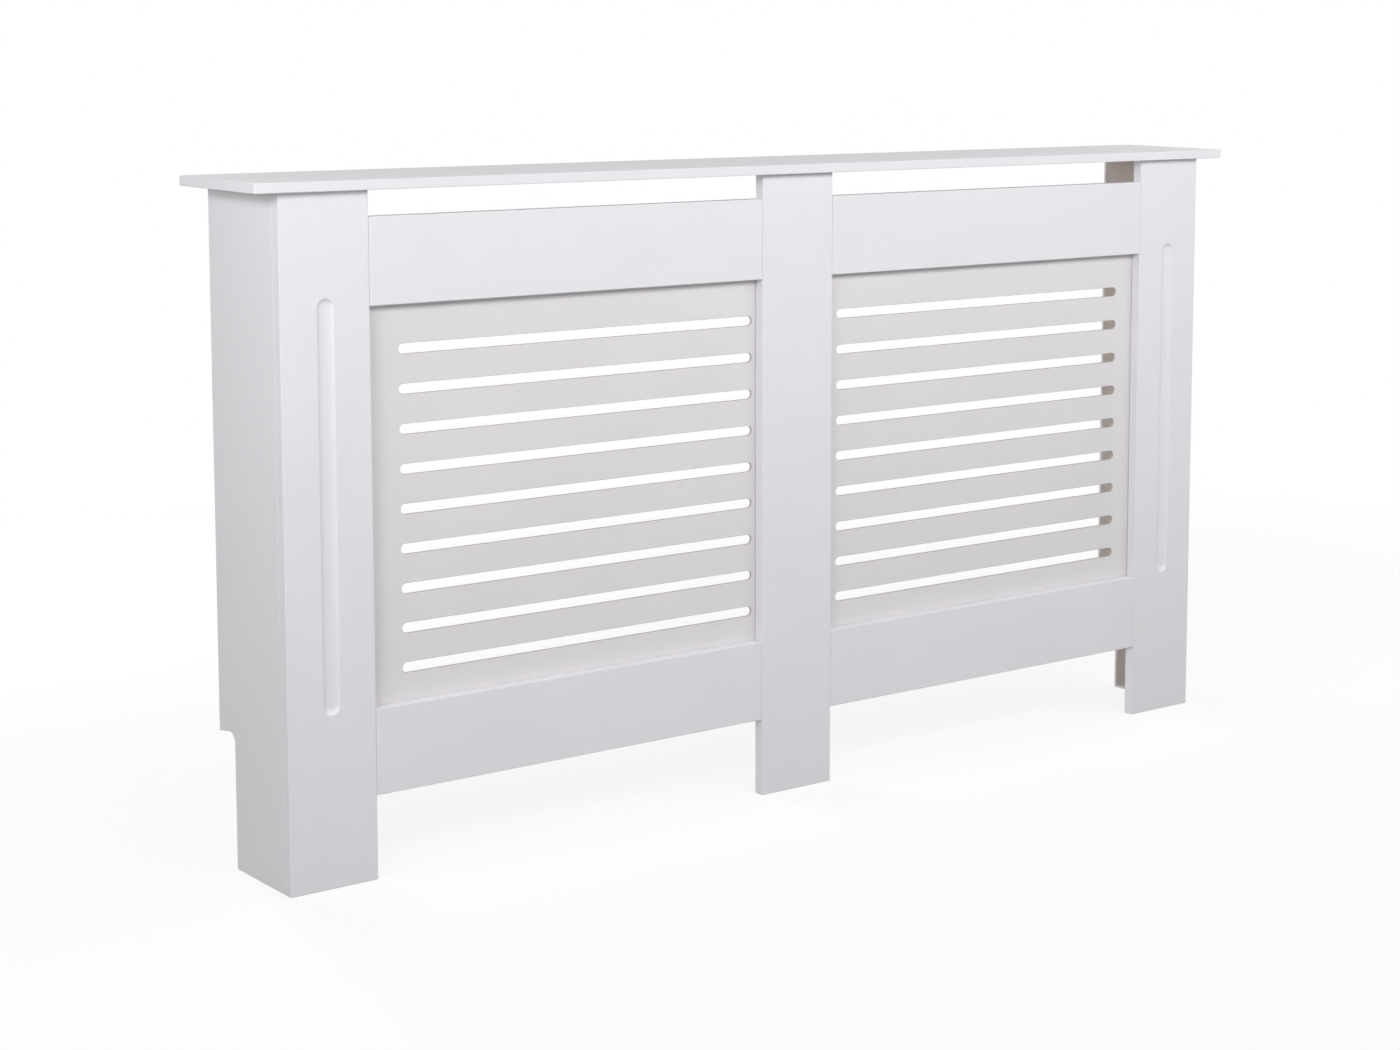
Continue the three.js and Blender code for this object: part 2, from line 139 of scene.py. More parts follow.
class FittingSettings(bpy.types.PropertyGroup):
    """Sizes of the fittings, as they are sold."""

    cam_radius: size("Cam radius", "Radius of a cam", 7.3)
    cam_height: size("Cam height", "Height of a cam", 11.9)
    cam_above_bolt: size("Cam above bolt", "From the bolt's middle to the cam's face", 7.2)
    bolt_head: size("Bolt head", "Radius of a bolt's ball head", 3.1)
    bolt_neck: size("Bolt neck", "Radius of a bolt's neck", 1.7)
    bolt_thread: size("Bolt thread", "Outer radius of a bolt's thread", 2.5)
    dowel_radius: size("Dowel radius", "Radius of a dowel", 4)
    bracket_steel: size("Bracket steel", "Thickness of a wall bracket", 1.5)
    bracket_bend: size("Bracket bend", "Outer radius of a wall bracket's bend", 2.5)
    bracket_hole: size("Bracket hole", "Radius of a bracket's hole for the wall screw", 2.6)
    screw_head: size("Screw head", "Radius of a grille screw's head", 3)
    screw_shank: size("Screw shank", "Radius of a grille screw's shank", 1.4)
    screw_length: size("Screw length", "Length of a grille screw under its head", 13)


class FinishSettings(bpy.types.PropertyGroup):
    """Colours and sheen of the finishes."""

    paint: colour("Board paint", "Satin paint of the boards", 236, 235, 239)
    grille_paint: colour("Grille paint", "Paint of the two grilles", 230, 227, 229)
    fibreboard: colour("Fibreboard", "Bare back of a board", 200, 191, 185)
    fibre: colour("Dark fibre", "Darkest fibres in the bare board", 150, 136, 126)
    zinc: colour("Zinc casting", "Die-cast cams", 176, 178, 176)
    steel: colour("Plated steel", "Bolts, screws and brackets", 200, 202, 200)
    beech: colour("Beech", "Dowels", 214, 182, 140)
    paint_sheen: share("Paint roughness", "Roughness of the satin paint", 0.44)
    peel: size("Orange peel", "Size of the paint's orange-peel bumps", 1.6)


class StageSettings(bpy.types.PropertyGroup):
    """The floor, the light and the camera."""

    floor: colour("Floor", "Pale studio floor, as it is seen", 247, 247, 247)
    floor_bounce: colour("Floor bounce", "How much light the floor throws back up", 174, 174, 174)
    sky: share("Sky", "Strength of the soft light from all round", 0.26, 5)
    front: share("Front lamp", "Power of the long lamp in front, in watts", 16.7, 1000)
    left: share("Left lamp", "Power of the lamp at the left end, in watts", 3.1, 1000)
    far: share("Far lamp", "Power of the lamp far out to the front left, in watts", 33, 1000)
    right: share("Right lamp", "Power of the lamp at the right end, in watts", 6, 1000)
    back: share("Back lamp", "Power of the lamp behind, in watts", 30, 1000)
    lens: FloatProperty(name="Lens", description="Focal length in millimetres", default=68.77, min=1)
    shift: FloatVectorProperty(
        name="Shift", description="Lens shift, to the side and up", default=(-0.1143, -0.135), size=2
    )
    camera_place: FloatVectorProperty(
        name="Camera place",
        description="Where the camera stands",
        default=(-2.0788, -2.7751, 0.9881),
        subtype="TRANSLATION",
        unit="LENGTH",
    )
    camera_turn: FloatVectorProperty(
        name="Camera turn",
        description="Pitch, roll and yaw of the camera",
        default=[math.radians(angle) for angle in (83.4055, -0.3241, -38.9506)],
        subtype="EULER",
        unit="ROTATION",
    )


GROUPS = {
    "radiator_cover_boards": BoardSettings,
    "radiator_cover_grilles": GrilleSettings,
    "radiator_cover_fittings": FittingSettings,
    "radiator_cover_finishes": FinishSettings,
    "radiator_cover_stage": StageSettings,
}


def settings(group):
    """The scene's settings of one group, such as "boards"."""
    return getattr(bpy.context.scene, "radiator_cover_" + group)


# ---------------------------------------------------------------- modelling


def only(piece):
    """Selects one object alone and makes it the active one."""
    bpy.ops.object.select_all(action="DESELECT")
    piece.select_set(True)
    bpy.context.view_layer.objects.active = piece


@contextmanager
def editing(piece, kind):
    """Edit mode on one piece, with nothing selected, for "VERT", "EDGE" or "FACE"."""
    only(piece)
    bpy.ops.object.mode_set(mode="EDIT")
    bpy.ops.mesh.select_mode(type=kind)
    bpy.ops.mesh.select_all(action="DESELECT")
    yield bmesh.from_edit_mesh(piece.data)
    bpy.ops.object.mode_set(mode="OBJECT")


def pick(piece, elements, test):
    """In edit mode, selects the vertices, edges or faces that pass a test."""
    for element in elements:
        if test(element):
            element.select_set(True)
    bmesh.update_edit_mesh(piece.data)


def settle(piece, matrix=Matrix.Identity(4)):
    """Moves a piece by a matrix and puts its place into its mesh, with the object at the origin."""
    piece.matrix_basis = matrix @ piece.matrix_basis
    only(piece)
    bpy.ops.object.transform_apply(location=True, rotation=True, scale=True)
    return piece


def copied(piece, name, matrix):
    """Another of the same piece, with its own mesh, at its own place."""
    copy = piece.copy()
    copy.data = piece.data.copy()
    copy.name = copy.data.name = name
    bpy.context.collection.objects.link(copy)
    return settle(copy, matrix)


def joined(pieces):
    """Several pieces that don't touch, as one."""
    bpy.ops.object.select_all(action="DESELECT")
    for piece in pieces:
        piece.select_set(True)
    bpy.context.view_layer.objects.active = pieces[0]
    bpy.ops.object.join()
    return pieces[0]


def discard(piece):
    """Deletes a piece with its mesh, once it has served as a cutter or a pattern."""
    mesh = piece.data
    bpy.data.objects.remove(piece)
    bpy.data.meshes.remove(mesh)


def frame_at(origin, x_way, z_way):
    """The matrix of a frame at a point, with its +X and +Z along two directions."""
    turn = Matrix((x_way, z_way.cross(x_way), z_way)).transposed()
    return Matrix.Translation(origin) @ turn.to_4x4()


def frame_along(origin, way):
    """The matrix of a frame at a point, with its +Z along one of the main directions."""
    return frame_at(origin, Y if way.x else X, way)


def block(name, low, high):
    """A plain block between two corners."""
    bpy.ops.object.select_all(action="DESELECT")
    low, high = Vector(low), Vector(high)
    bpy.ops.mesh.primitive_cube_add(size=1, location=(low + high) / 2, scale=high - low)
    piece = bpy.context.object
    piece.name = piece.data.name = name
    return settle(piece)


def turned(name, profile, sides):
    """A turned piece round +Z: a filled ring, drawn out and widened step by step.

    The profile runs upwards or downwards as (radius, height) pairs.
    """
    bpy.ops.object.select_all(action="DESELECT")
    (radius, height), *steps = profile
    bpy.ops.mesh.primitive_circle_add(
        vertices=sides, radius=radius, fill_type="NGON", location=(0, 0, height)
    )
    piece = bpy.context.object
    piece.name = piece.data.name = name
    settle(piece)
    with editing(piece, "FACE"):
        bpy.ops.mesh.select_all(action="SELECT")
        for wider, higher in steps:
            bpy.ops.mesh.extrude_region_move(
                TRANSFORM_OT_translate={"value": (0, 0, higher - height), "orient_type": "GLOBAL"}
            )
            ratio = wider / radius
            bpy.ops.transform.resize(value=(ratio, ratio, 1), center_override=(0, 0, higher))
            radius, height = wider, higher
        bpy.ops.mesh.select_all(action="SELECT")
        bpy.ops.mesh.normals_make_consistent(inside=False)
    return piece


def stretched(piece, length):
    """Draws a turned piece out along +Y: its far half moves, and its widest sides become straight."""
    same_level = MM / 100
    heights = [vertex.co.z for vertex in piece.data.vertices]
    sides = sum(abs(height - heights[0]) < same_level for height in heights)
    settle(piece, Matrix.Rotation(math.pi / sides, 4, "Z"))
    with editing(piece, "VERT") as mesh:
        pick(piece, mesh.verts, lambda vertex: vertex.co.y > 0)
        bpy.ops.transform.translate(value=(0, length, 0))
    return piece


def soften(piece, radius, steps, material=-1):
    """Rounds every sharp edge of a piece."""
    with editing(piece, "EDGE"):
        bpy.ops.mesh.edges_select_sharp(sharpness=SHARP_ANGLE)
        bpy.ops.mesh.bevel(offset=radius, segments=steps, affect="EDGES", material=material)


def round_edges(piece, test, radius, steps):
    """Rounds the edges that pass a test."""
    with editing(piece, "EDGE") as mesh:
        pick(piece, mesh.edges, test)
        bpy.ops.mesh.bevel(offset=radius, segments=steps, affect="EDGES")


def runs_through(edge, **place):
    """Whether an edge runs through a place, given by two of its x, y and z."""
    ends = [getattr(vertex.co, axis) - at for vertex in edge.verts for axis, at in place.items()]
    return all(abs(off) < CLOSE for off in ends)


def cut(piece, cutter, material=PAINTED):
    """Cuts a cutter's space out of a piece. The walls of the cut get the material's place."""
    for face in cutter.data.polygons:
        face.material_index = material
    only(piece)
    modifier = piece.modifiers.new("Cut", "BOOLEAN")
    modifier.operation = "DIFFERENCE"
    modifier.solver = "EXACT"
    modifier.material_mode = "INDEX"
    modifier.object = cutter
    bpy.ops.object.modifier_apply(modifier=modifier.name)
    discard(cutter)


def with_slots(piece, *finishes):
    """Gives a piece its material slots, in order, by the names of their finishes."""
    for name in finishes:
        piece.data.materials.append(finish(name))
    return piece


def drill(radius, start, end, place, way, sides=24):
    """A round cutter from start to end along a direction through a place."""
    rod = turned("Drill", [(radius, start), (radius, end)], sides)
    return settle(rod, frame_along(place, way))


def shade(piece):
    """Smooth shading that keeps flat faces flat and real corners sharp."""
    only(piece)
    bpy.ops.object.shade_smooth_by_angle(angle=SMOOTH_ANGLE, keep_sharp_edges=False)
    modifier = piece.modifiers.new("Flat faces", "WEIGHTED_NORMAL")
    modifier.keep_sharp = True
    modifier.weight = 100  # large faces count far more than small ones
    bpy.ops.object.modifier_apply(modifier=modifier.name)
    return piece


def place_on_frame(piece, slot, *nodes):
    """Ties a finished piece to the frame: the body that it rides on, and the nodes that it hides. The
    slot is not used.
    """
    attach(piece, BODY)
    if nodes:
        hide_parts(*nodes)


# ---------------------------------------------------------------- shader parts


def feed(tree, made, inputs):
    """Sets a node's inputs, or links them where they are given another node's output."""
    for key, value in inputs.items():
        if isinstance(value, bpy.types.NodeSocket):
            tree.links.new(value, made.inputs[key])
        else:
            made.inputs[key].default_value = value


def node(tree, kind, inputs=None, **options):
    """A shader node with its options set and its inputs set or linked."""
    made = tree.nodes.new(kind)
    for option, value in options.items():
        setattr(made, option, value)
    feed(tree, made, inputs or {})
    return made


def mixed(tree, factor, first, second, kind="RGBA"):
    """Mixes two colours, or two numbers with kind="FLOAT"."""
    made = node(tree, "ShaderNodeMix", data_type=kind)
    used = [number for number, socket in enumerate(made.inputs) if socket.enabled]
    feed(tree, made, dict(zip(used, (factor, first, second))))
    return next(socket for socket in made.outputs if socket.enabled)


def maths(tree, operation, first, second):
    """One step of arithmetic on two values."""
    return node(tree, "ShaderNodeMath", {0: first, 1: second}, operation=operation).outputs[0]


def weighted(tree, first, first_share, second, second_share):
    """The sum of two values, each by its share."""
    first = maths(tree, "MULTIPLY", first, first_share)
    return maths(tree, "ADD", first, maths(tree, "MULTIPLY", second, second_share))


def spread(tree, value, span, to=(0.0, 1.0)):
    """Stretches a span of a value to another span, without going past its ends."""
    ends = dict(zip(("From Min", "From Max", "To Min", "To Max"), (*span, *to)))
    return node(tree, "ShaderNodeMapRange", {"Value": value, **ends}).outputs[0]


def noise(tree, vector, scale, detail=2.0, roughness=0.5):
    """Soft noise from 0 to 1, with so many lumps to a metre."""
    inputs = {"Vector": vector, "Scale": scale, "Detail": detail, "Roughness": roughness}
    return node(tree, "ShaderNodeTexNoise", inputs).outputs["Fac"]


def rgba(levels, factor=1.0):
    """A colour with its alpha, made lighter or darker by a factor."""
    return (*[min(1.0, factor * level) for level in levels], 1.0)


def new_group(name, inputs, outputs):
    """A shader node group with named sockets. Returns it with what it is given and its output node."""
    group = bpy.data.node_groups.new(name, "ShaderNodeTree")
    for socket, (kind, default) in inputs.items():
        made = group.interface.new_socket(socket, in_out="INPUT", socket_type=kind)
        if default is not None:
            made.default_value = default
    for socket, kind in outputs.items():
        group.interface.new_socket(socket, in_out="OUTPUT", socket_type=kind)
    return group, group.nodes.new("NodeGroupInput").outputs, group.nodes.new("NodeGroupOutput")


def placed_group(tree, name, inputs):
    """One of the shared effects, built on first use and placed in a material."""
    group = bpy.data.node_groups.get(name) or EFFECTS[name]()
    return node(tree, "ShaderNodeGroup", inputs, node_tree=group).outputs


FLOAT, VECTOR, COLOUR = "NodeSocketFloat", "NodeSocketVector", "NodeSocketColor"
WHITE = (1, 1, 1, 1)
TONES = (0.3, 0.7)  # where most of a noise's values lie


def sprayed_paint():
    """Sprayed paint: fine orange peel, a slow change of tone, and rare grains of dust in it."""
    group, given, out = new_group(
        "Sprayed paint",
        {"Vector": (VECTOR, None), "Peel Scale": (FLOAT, 600.0), "Colour": (COLOUR, WHITE)},
        {"Colour": COLOUR, "Tone": FLOAT, "Height": FLOAT},
    )
    place = given["Vector"]
    ripple_per_peel, ripple_height = 0.38, 1.6
    dust_to_a_metre, dust_height, dust_strength, dust = 22.0, 3.0, 0.35, (0.42, 0.4, 0.38, 1)

    peel = noise(group, place, given["Peel Scale"], detail=1.0)
    ripple_scale = maths(group, "MULTIPLY", given["Peel Scale"], ripple_per_peel)
    ripple = noise(group, place, ripple_scale, detail=1.0)
    cloud = noise(group, place, 9.0, detail=3.0, roughness=0.55)
    grain = noise(group, place, 1500.0, detail=0.0)
    spots = node(group, "ShaderNodeTexVoronoi", {"Vector": place, "Scale": dust_to_a_metre})
    nib = spread(group, spots.outputs["Distance"], (0.008, 0.018), to=(1.0, 0.0))

    tone = weighted(group, cloud, 0.65, grain, 0.35)
    brightness = spread(group, tone, TONES, to=(0.972, 1.014))
    scaled = {0: given["Colour"], "Scale": brightness}
    toned = node(group, "ShaderNodeVectorMath", scaled, operation="SCALE").outputs[0]
    height = maths(group, "ADD", peel, maths(group, "MULTIPLY", ripple, ripple_height))
    feed(group, out, {
        "Colour": mixed(group, maths(group, "MULTIPLY", nib, dust_strength), toned, dust),
        "Tone": tone,
        "Height": maths(group, "ADD", height, maths(group, "MULTIPLY", nib, dust_height)),
    })
    return group


def bare_fibreboard():
    """Bare fibreboard: felted fibres, lighter and darker, with a few long dark ones."""
    group, given, out = new_group(
        "Bare fibreboard",
        {
            "Vector": (VECTOR, None),
            "Board": (COLOUR, (0.4, 0.35, 0.3, 1)),
            "Fibre": (COLOUR, (0.2, 0.15, 0.1, 1)),
        },
        {"Colour": COLOUR, "Height": FLOAT},
    )
    place = given["Vector"]
    felt = noise(group, place, 900.0, detail=3.0, roughness=0.7)
    cloud = noise(group, place, 24.0, detail=4.0, roughness=0.6)
    strands = noise(group, place, 260.0, detail=4.0, roughness=0.8)
    board, fibre = given["Board"], given["Fibre"]
    mottled = mixed(group, spread(group, felt, (0.3, 0.75), to=(0.0, 0.35)), board, fibre)
    clouded = mixed(group, spread(group, cloud, (0.35, 0.75), to=(0.0, 0.22)), mottled, fibre)
    fibred = mixed(group, spread(group, strands, (0.6, 0.72), to=(0.0, 0.75)), clouded, fibre)
    feed(group, out, {"Colour": fibred, "Height": maths(group, "ADD", felt, strands)})
    return group


def stray_mist():
    """Where the bare back begins: paint mist thins out in specks from the board's edge inwards."""
    group, given, out = new_group(
        "Stray mist", {"Vector": (VECTOR, None), "Bare": (FLOAT, 0.0)}, {"Bare": FLOAT}
    )
    place = given["Vector"]
    drift = noise(group, place, 45.0, detail=3.0, roughness=0.6)
    specks = noise(group, place, 1100.0, detail=1.0)
    reach = maths(group, "ADD", given["Bare"], spread(group, drift, TONES, to=(-0.25, 0.25)))
    level = maths(group, "ADD", reach, spread(group, specks, (0.25, 0.75), to=(-0.3, 0.3)))
    soft = spread(group, level, (0.35, 0.65))
    edge_free = spread(group, given["Bare"], (0.0, 0.15))
    feed(group, out, {"Bare": maths(group, "MULTIPLY", soft, edge_free)})
    return group


def metal_handling():
    """Fine scratches and dull patches that a metal fitting gets in its bag."""
    group, given, out = new_group(
        "Metal handling",
        {"Vector": (VECTOR, None), "Grain": (FLOAT, 900.0)},
        {"Dull": FLOAT, "Height": FLOAT},
    )
    place = given["Vector"]
    along_x = {"Vector": place, "Scale": (1.0, 9.0, 9.0)}
    drawn = node(group, "ShaderNodeMapping", along_x).outputs[0]
    patches = noise(group, place, 160.0, detail=3.0, roughness=0.6)
    grain = noise(group, place, given["Grain"], detail=3.0, roughness=0.7)
    scratches = noise(group, drawn, 420.0, detail=2.0)
    dull = weighted(group, patches, 0.6, scratches, 0.4)
    feed(group, out, {"Dull": dull, "Height": maths(group, "ADD", grain, scratches)})
    return group


EFFECTS = {
    "Sprayed paint": sprayed_paint,
    "Bare fibreboard": bare_fibreboard,
    "Stray mist": stray_mist,
    "Metal handling": metal_handling,
}


# ---------------------------------------------------------------- finishes


PEEL_DEPTH = 0.017 * MM
FIBRE_DEPTH = 0.05 * MM
FLOOR_FADE = (0.8, 2.4)  # from here to there, in metres from the middle, the floor turns plain white


def new_material(name):
    """An empty node material. Returns it with its tree, its shader and the object's coordinates."""
    material = bpy.data.materials.new(name)
    material.use_nodes = True
    tree = material.node_tree
    place = node(tree, "ShaderNodeTexCoord").outputs["Object"]
    return material, tree, tree.nodes["Principled BSDF"], place


def relief(tree, height, depth):
    """The normal of a surface that a height from 0 to 1 raises by up to a depth."""
    inputs = {"Height": height, "Distance": depth, "Strength": 1.0}
    return node(tree, "ShaderNodeBump", inputs).outputs[0]


def paint_nodes(tree, place, paint, rougher=0.0, finer=1.0):
    """The paint's colour, roughness and height in a material."""
    look = settings("finishes")
    inputs = {"Vector": place, "Peel Scale": finer / look.peel, "Colour": rgba(paint)}
    sprayed = placed_group(tree, "Sprayed paint", inputs)
    roughness = look.paint_sheen + rougher
    sheen = spread(tree, sprayed["Tone"], TONES, to=(roughness - 0.03, roughness + 0.04))
    return sprayed["Colour"], sheen, sprayed["Height"]


def fibreboard_nodes(tree, place):
    """The bare board's colour and height in a material."""
    look = settings("finishes")
    inputs = {"Vector": place, "Board": rgba(look.fibreboard), "Fibre": rgba(look.fibre)}
    board = placed_group(tree, "Bare fibreboard", inputs)
    return board["Colour"], board["Height"]


def board_paint():
    """Satin white paint on a board's faces, and bare fibreboard where its back is unpainted."""
    material, tree, shader, place = new_material("Satin white paint")
    paint, sheen, height = paint_nodes(tree, place, settings("finishes").paint)
    board, fibre_height = fibreboard_nodes(tree, place)
    marked = node(tree, "ShaderNodeAttribute", attribute_name="bare").outputs["Fac"]
    bare = placed_group(tree, "Stray mist", {"Vector": place, "Bare": marked})["Bare"]
    fibre_height = maths(tree, "MULTIPLY", fibre_height, FIBRE_DEPTH / PEEL_DEPTH)
    fibre_roughness = 0.88
    feed(tree, shader, {
        "Base Color": mixed(tree, bare, paint, board),
        "Roughness": mixed(tree, bare, sheen, fibre_roughness, "FLOAT"),
        "Normal": relief(tree, mixed(tree, bare, height, fibre_height, "FLOAT"), PEEL_DEPTH),
    })
    return material


def edge_paint():
    """The same paint on the boards' sawn edges, where the open fibre drinks it and dries rougher."""
    material, tree, shader, place = new_material("Satin white edge")
    paint, sheen, height = paint_nodes(tree, place, settings("finishes").paint, rougher=0.1)
    pores = noise(tree, place, 1300.0, detail=3.0, roughness=0.7)
    pores_per_peel = 1.5
    height = maths(tree, "ADD", height, maths(tree, "MULTIPLY", pores, pores_per_peel))
    normal = relief(tree, height, PEEL_DEPTH)
    feed(tree, shader, {"Base Color": paint, "Roughness": sheen, "Normal": normal})
    return material


def grille_paint():
    """The grilles' paint, a little warmer and flatter than the boards'."""
    material, tree, shader, place = new_material("Grille paint")
    tint = settings("finishes").grille_paint
    paint, sheen, height = paint_nodes(tree, place, tint, rougher=0.06, finer=1.25)
    normal = relief(tree, height, PEEL_DEPTH)
    feed(tree, shader, {"Base Color": paint, "Roughness": sheen, "Normal": normal})
    return material


def drilled_board():
    """The fibreboard's core in drilled holes, and the same darker finish on the grilles' slot walls."""
    material, tree, shader, place = new_material("Drilled fibreboard")
    board, height = fibreboard_nodes(tree, place)
    normal = relief(tree, height, 2 * FIBRE_DEPTH)
    feed(tree, shader, {"Base Color": board, "Roughness": 0.92, "Normal": normal})
    return material


def metal(name, base, roughness, darkest, grain, depth):
    """A metal finish with dull patches and a fine grain."""
    material, tree, shader, place = new_material(name)
    marks = placed_group(tree, "Metal handling", {"Vector": place, "Grain": grain})
    dull = spread(tree, marks["Dull"], (0.35, 0.65))
    feed(tree, shader, {
        "Base Color": mixed(tree, dull, rgba(base), rgba(base, darkest)),
        "Metallic": 1.0,
        "Roughness": spread(tree, marks["Dull"], TONES, to=(roughness - 0.07, roughness + 0.12)),
        "Normal": relief(tree, marks["Height"], depth),
    })
    return material


def zinc_casting():
    """Die-cast zinc, with a soft grain from its mould."""
    base = settings("finishes").zinc
    return metal("Zinc casting", base, roughness=0.42, darkest=0.82, grain=1400.0, depth=0.02 * MM)


def plated_steel():
    """Bright plated steel."""
    base = settings("finishes").steel
    return metal("Plated steel", base, roughness=0.28, darkest=0.88, grain=2600.0, depth=0.006 * MM)


def beech_wood():
    """Beech: short darker flecks along the dowel, on its own coordinates."""
    material, tree, shader, _ = new_material("Beech")
    along = node(tree, "ShaderNodeAttribute", attribute_name="own_place").outputs["Vector"]
    drawn = node(tree, "ShaderNodeMapping", {"Vector": along, "Scale": (1.0, 1.0, 0.12)}).outputs[0]
    grain = noise(tree, drawn, 900.0, detail=4.0, roughness=0.65)
    flecks = node(tree, "ShaderNodeTexVoronoi", {"Vector": drawn, "Scale": 1100.0})
    fleck = spread(tree, flecks.outputs["Distance"], (0.1, 0.3), to=(0.55, 0.0))
    wood = settings("finishes").beech
    toned = mixed(tree, grain, rgba(wood, 0.8), rgba(wood, 1.12))
    feed(tree, shader, {
        "Base Color": mixed(tree, fleck, toned, rgba(wood, 0.5)),
        "Roughness": spread(tree, grain, TONES, to=(0.55, 0.72)),
        "Normal": relief(tree, grain, 0.05 * MM),
    })
    return material


def seen_directly(tree):
    """1 for rays that show the background to the camera, straight or by gloss or glass, else 0."""
    rays = node(tree, "ShaderNodeLightPath").outputs
    seen = maths(tree, "MAXIMUM", rays["Is Camera Ray"], rays["Is Glossy Ray"])
    return maths(tree, "MAXIMUM", seen, rays["Is Transmission Ray"])


def floor_material():
    """A pale floor that the camera sees as white, apart from the object's soft shadow."""
    material, tree, shader, place = new_material("Studio floor")
    stage = settings("stage")
    seen = seen_directly(tree)
    feed(tree, shader, {
        "Base Color": mixed(tree, seen, rgba(stage.floor_bounce), rgba(stage.floor)),
        "Roughness": 0.9,
        "Specular IOR Level": 0.1,
    })
    distance = node(tree, "ShaderNodeVectorMath", {0: place}, operation="LENGTH").outputs["Value"]
    whiteness = maths(tree, "MULTIPLY", spread(tree, distance, FLOOR_FADE, to=(0.82, 1.0)), seen)
    white = node(tree, "ShaderNodeEmission", {"Color": WHITE, "Strength": 1.0}).outputs[0]
    mix = node(tree, "ShaderNodeMixShader", {0: whiteness, 1: shader.outputs[0], 2: white})
    feed(tree, tree.nodes["Material Output"], {"Surface": mix.outputs[0]})
    return material


FINISHES = {
    "Satin white paint": board_paint,
    "Satin white edge": edge_paint,
    "Drilled fibreboard": drilled_board,
    "Grille paint": grille_paint,
    "Zinc casting": zinc_casting,
    "Plated steel": plated_steel,
    "Beech": beech_wood,
    "Studio floor": floor_material,
}


def finish(name):
    """A finish by its name, built on first use."""
    return bpy.data.materials.get(name) or FINISHES[name]()


# ---------------------------------------------------------------- boards


def overlap(box_a, box_b):
    """Whether two boxes share some space."""
    return all(min(a, b) > max(c, d) for a, b, c, d in zip(box_a[1], box_b[1], box_a[0], box_b[0]))


def middle_of(node_name):
    """The middle of a node's box."""
    low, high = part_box(node_name)
    return (low + high) / 2


def main_way(vector):
    """The one of the six main directions that a vector points along most."""
    strongest = max(range(3), key=lambda axis: abs(vector[axis]))
    way = Vector((0, 0, 0))
    way[strongest] = math.copysign(1, vector[strongest])
    return way


def names_of(kind):
    """What follows the kind in the names of the frame's fittings, such as the joints of all cams."""
    return sorted(name[len(kind) + 1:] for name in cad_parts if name.startswith(kind + "_"))


def cam_frame(joint):
    """A cam's place: its origin on the bolt's line, +X away from the bolt, +Z out of its housing."""
    low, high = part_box("cam_" + joint)
    extent = high - low
    middle = (low + high) / 2
    bolt_way = main_way(middle - middle_of("bolt_" + joint))
    mouth = Y if extent.y == min(extent) else main_way(-X * middle.x)
    fittings = settings("fittings")
    origin = middle + mouth * (fittings.cam_height / 2 - fittings.cam_above_bolt)
    return frame_at(origin, bolt_way, mouth)


def long_way(node_name):
    """Middle, direction and half length of a slim fitting."""
    low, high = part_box(node_name)
    way = main_way(high - low)
    return (low + high) / 2, way, (high - low).dot(way) / 2


def drill_along(piece, fitting, radius):
    """Drills a slim fitting's hole, a little longer than the fitting."""
    middle, way, half = long_way(fitting)
    reach = half + settings("boards").clearance
    cut(piece, drill(radius, -reach, reach, middle, way), DRILLED)


def drill_housing(piece, joint):
    """Drills the round housing that a cam is dropped into."""
    size_of, gap = settings("fittings"), settings("boards").clearance
    place = cam_frame(joint)
    origin, mouth = place.translation, place.col[2].to_3d()
    low = size_of.cam_above_bolt - size_of.cam_height - gap
    past = 2 * size_of.cam_above_bolt
    cut(piece, drill(size_of.cam_radius + gap, low, past, origin, mouth, sides=64), DRILLED)


def drill_for_fittings(piece, node_name):
    """Drills a board for every bolt, cam and dowel that stands in it."""
    size_of, gap = settings("fittings"), settings("boards").clearance
    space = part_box(node_name)
    for joint in names_of("cam"):
        holds_cam = overlap(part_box("cam_" + joint), space)
        if overlap(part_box("bolt_" + joint), space):
            bore = settings("boards").bolt_bore if holds_cam else size_of.bolt_thread + gap
            drill_along(piece, "bolt_" + joint, bore)
        if holds_cam:
            drill_housing(piece, joint)
    for joint in names_of("dowel"):
        if overlap(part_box("dowel_" + joint), space):
            drill_along(piece, "dowel_" + joint, size_of.dowel_radius + gap)


def lay_bare(piece, way, mist):
    """Leaves a board's back unpainted: paint mist along its outline, and bare fibreboard inside."""
    back = max(piece.data.polygons, key=lambda face: face.normal.dot(way) * face.area).index
    with editing(piece, "FACE") as mesh:
        mesh.loops.layers.float.new("bare")
        pick(piece, mesh.faces, lambda face: face.index == back)
        bpy.ops.mesh.inset(thickness=mist, depth=0, use_even_offset=True)
        mesh = bmesh.from_edit_mesh(piece.data)
        bare = mesh.loops.layers.float["bare"]
        inside = {vertex for face in mesh.faces if face.select for vertex in face.verts}
        for vertex in inside:
            for loop in vertex.link_loops:
                loop[bare] = 1.0
        bmesh.update_edit_mesh(piece.data)


def board_corners(node_name):
    """A board's corners. The shelf is thinner than its node, and what carries it is as much taller."""
    low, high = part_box(node_name)
    shelf_low, shelf_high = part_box("shelf")
    lift = (shelf_high.z - settings("boards").shelf_thickness - shelf_low.z) * Z
    if node_name == "shelf":
        return low + lift, high
    carries_shelf = high.z > shelf_low.z - MM
    return low, high + lift if carries_shelf else high


def board(node_name, bare_way, shape=None):
    """A painted board in place of a node: softened, bare on one side and drilled for its fittings."""
    size_of = settings("boards")
    piece = block("painted_" + node_name, *board_corners(node_name))
    with_slots(piece, "Satin white paint", "Drilled fibreboard", "Satin white edge")
    if shape:
        shape(piece)
    soften(piece, size_of.arris, steps=4, material=EDGE)
    lay_bare(piece, bare_way, size_of.mist)
    drill_for_fittings(piece, node_name)
    return piece


def is_upright(edge):
    """Whether an edge runs straight up."""
    start, end = edge.verts
    return (start.co - end.co).length - abs(start.co.z - end.co.z) < CLOSE


